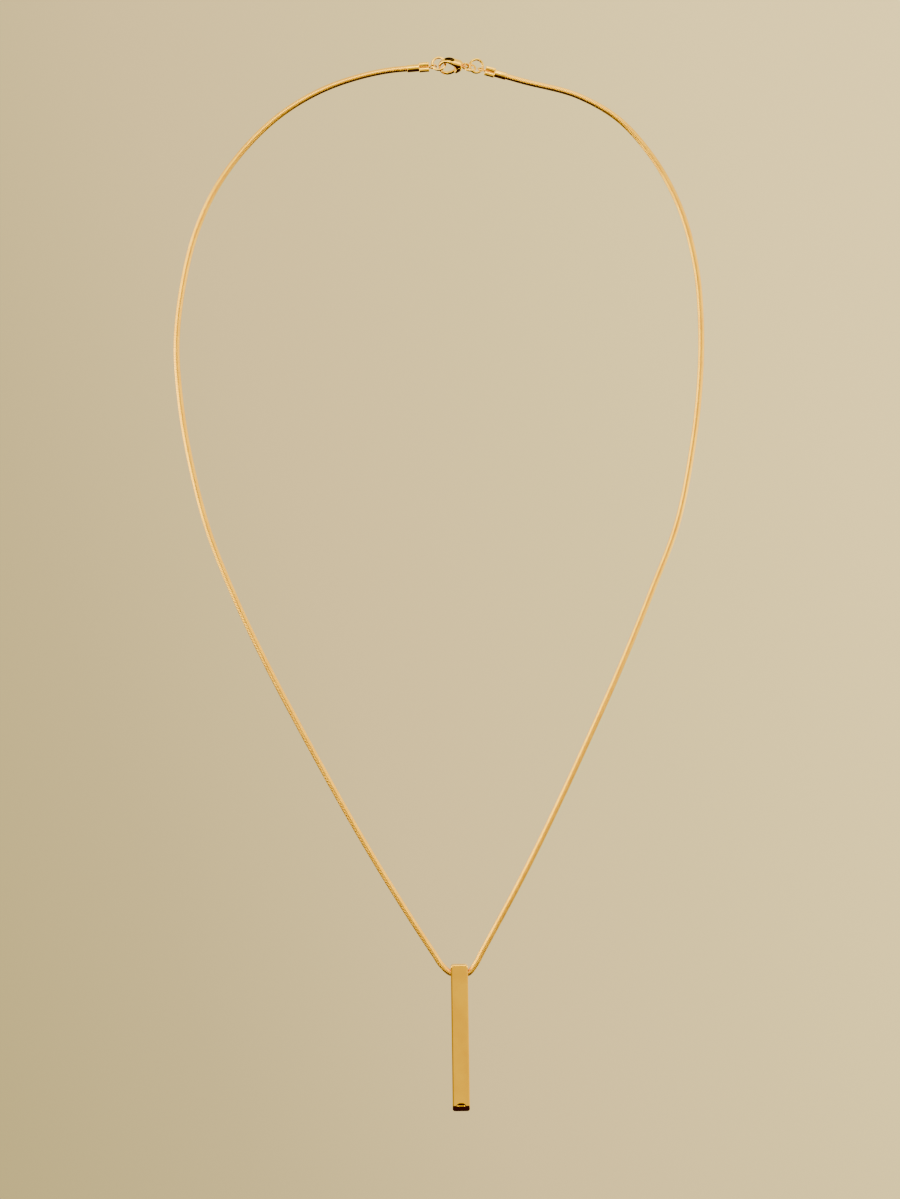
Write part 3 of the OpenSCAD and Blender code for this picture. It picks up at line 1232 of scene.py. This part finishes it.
@dataclass(frozen=True)
class Studio:
    """Pale floor far below the hanging necklace, soft boxes, dark cards, a soft surround and the camera.

    Attributes:
        centre, frame_height: middle and height of the photograph's frame, in the necklace's plane.
        distance, sensor: distance of the camera and width of its sensor.
        clip: nearest and farthest distance that it sees.
        floor: the pale floor, left out of what the metal mirrors.
        cards: dark ovals below the necklace, the bar's foot and the clasp, seen only in the metal.
        boxes: the soft boxes at the sides and above.
        tilt: share of Z in the value along which the colours behind run, the rest being X.
        behind, front: colours behind the necklace, and in front of it along X.
        under, over: colours below and above it, along Z.
        sides: Y over which the surround turns from front to behind.
        rise, top: Z over which it turns from below to level, and from level to above.
    """

    centre: Pair = (-0.8, -141.6)
    frame_height: float = 318.9
    distance: float = 1200.0
    sensor: float = 36.0
    clip: Pair = (50.0, 40000.0)
    floor: Oval = Oval("floor", 15000.0, -15000.0, 15000.0, -3000.0, (0.68, 0.63, 0.52))
    cards: tuple[Oval, ...] = (
        Oval("dark_card_0", 165.0, -190.0, 320.0, -450.0),
        Oval("dark_card_1", 16.0, -18.0, 24.0, -283.0),
        Oval("dark_card_2", 32.0, -34.0, 48.0, -24.0),
    )
    boxes: tuple[SoftBox, ...] = (
        SoftBox("left_panel", (-350.0, -175.0, -60.0), (950.0, 320.0), 1.5, RIGHTWARDS),
        SoftBox("left_top_strip", (-345.0, -175.0, 85.0), (950.0, 110.0), 3.5, RIGHTWARDS),
        SoftBox("left_upper_strip", (-345.0, -175.0, -96.0), (950.0, 60.0), 7.0, RIGHTWARDS),
        SoftBox("left_lower_strip", (-345.0, -175.0, -212.0), (950.0, 34.0), 9.0, RIGHTWARDS),
        SoftBox("right_panel", (350.0, -175.0, -33.0), (950.0, 266.0), 1.1, LEFTWARDS),
        SoftBox("right_strip", (345.0, -175.0, -197.0), (950.0, 62.0), 5.0, LEFTWARDS),
        SoftBox("top_box", (250.0, -150.0, 600.0), (400.0, 450.0), 3.0, DOWNWARDS),
        SoftBox("front_box", (-60.0, -480.0, 330.0), (420.0, 150.0), 9.0, (0.1, 0.8, -0.6)),
    )
    tilt: float = 0.35
    behind: Ramp = Ramp((-0.146, 0.146), (
        (0.0, (0.74, 0.57, 0.23)), (0.2, (0.9, 0.69, 0.29)), (0.4, (1.17, 0.87, 0.375)),
        (0.6, (1.32, 1.01, 0.42)), (0.84, (1.56, 1.19, 0.495)), (1.0, (1.66, 1.27, 0.53)),
    ))  # fmt: skip
    front: Ramp = Ramp((-0.7, 0.7), (
        (0.0, (0.45, 0.36, 0.1)), (0.42, (1.22, 1.0, 0.15)), (1.0, (1.35, 1.08, 0.24)),
    ))  # fmt: skip
    under: Ramp = Ramp((-1.0, -0.3), (
        (0.0, (0.06, 0.03, 0.01)), (0.45, (0.3, 0.22, 0.07)),
        (0.8, (0.55, 0.42, 0.13)), (1.0, (0.82, 0.68, 0.24)),
    ))  # fmt: skip
    over: Ramp = Ramp((0.3, 1.0), ((0.0, (1.6, 1.35, 0.42)), (1.0, (1.8, 1.5, 0.55))))
    sides: Pair = (-0.5, 0.5)
    rise: Pair = (-0.36, -0.1)
    top: Pair = (0.25, 0.8)

    def surround(self) -> None:
        """World light: beige behind the necklace, darker to the left and below, warm in front and above."""
        world = bpy.data.worlds.new("studio_surround")
        world.use_nodes = True
        kit = NodeKit(world.node_tree)
        way = kit.add("SeparateXYZ", Vector=kit.add("TexCoord").outputs["Generated"]).outputs
        slant = kit.add("Math")
        slant.operation = "MULTIPLY_ADD"
        slant.inputs[1].default_value = self.tilt
        kit.tree.links.new(way["Z"], slant.inputs[0])
        kit.tree.links.new(way["X"], slant.inputs[2])
        across, ahead, up = way
        sides, rise, top = (
            kit.span(value, reach, curve="SMOOTHSTEP")
            for value, reach in ((ahead, self.sides), (up, self.rise), (up, self.top))
        )
        behind = self.behind.read(kit, slant.outputs["Value"])
        level = kit.mix(sides, self.front.read(kit, across), behind)
        lower = kit.mix(rise, self.under.read(kit, up), level)
        whole = kit.mix(top, lower, self.over.read(kit, up))
        kit.feed(world.node_tree.nodes["Background"], Color=whole)
        bpy.context.scene.world = world

    def camera(self) -> None:
        """Long lens level with the middle of the frame, looking along +Y."""
        data = bpy.data.cameras.new("photo_camera")
        data.sensor_width = self.sensor
        data.lens = self.sensor * self.distance / self.frame_height
        data.clip_start, data.clip_end = (limit * MM for limit in self.clip)
        eye = linked("photo_camera", data)
        eye.location = Vector((self.centre[0], -self.distance, self.centre[1])) * MM
        eye.rotation_euler = (math.pi / 2.0, 0.0, 0.0)
        bpy.context.scene.camera = eye

    def build(self) -> None:
        """Sets up the studio."""
        self.floor.build().visible_glossy = False
        for card in self.cards:
            oval = card.build()
            oval.visible_camera = oval.visible_shadow = oval.visible_diffuse = False
        self.surround()
        for box in self.boxes:
            box.build()
        self.camera()


def main() -> None:
    """Builds the necklace's pieces in order, then the studio."""
    logging.basicConfig(level=logging.INFO)
    pieces = (
        SnakeChain(),
        Crimp("crimp_left", (-5.3, 0.0, 0.15), turn_y=175.0, eye_pitch=-59.0),
        Crimp("crimp_right", (7.5, 0.0, -0.6), turn_y=16.0, eye_pitch=-64.0),
        WireRing("jump_ring_left", (-3.8, -0.1, 0.9), -16.0, -5.0, cut_at=115.0),
        WireRing("jump_ring_right", (6.2, -0.4, 0.25), 7.0, 10.0, cut_at=62.0),
        WireRing("link_ring", (4.5, -0.25, -0.15), -50.0, 9.0, cut_at=80.0, outer_d=3.44, wire=0.6),
        LobsterClasp(),
        BarPendant(),
    )
    for piece in pieces:
        piece.build()
    Studio().build()


if __name__ == "__main__":
    main()
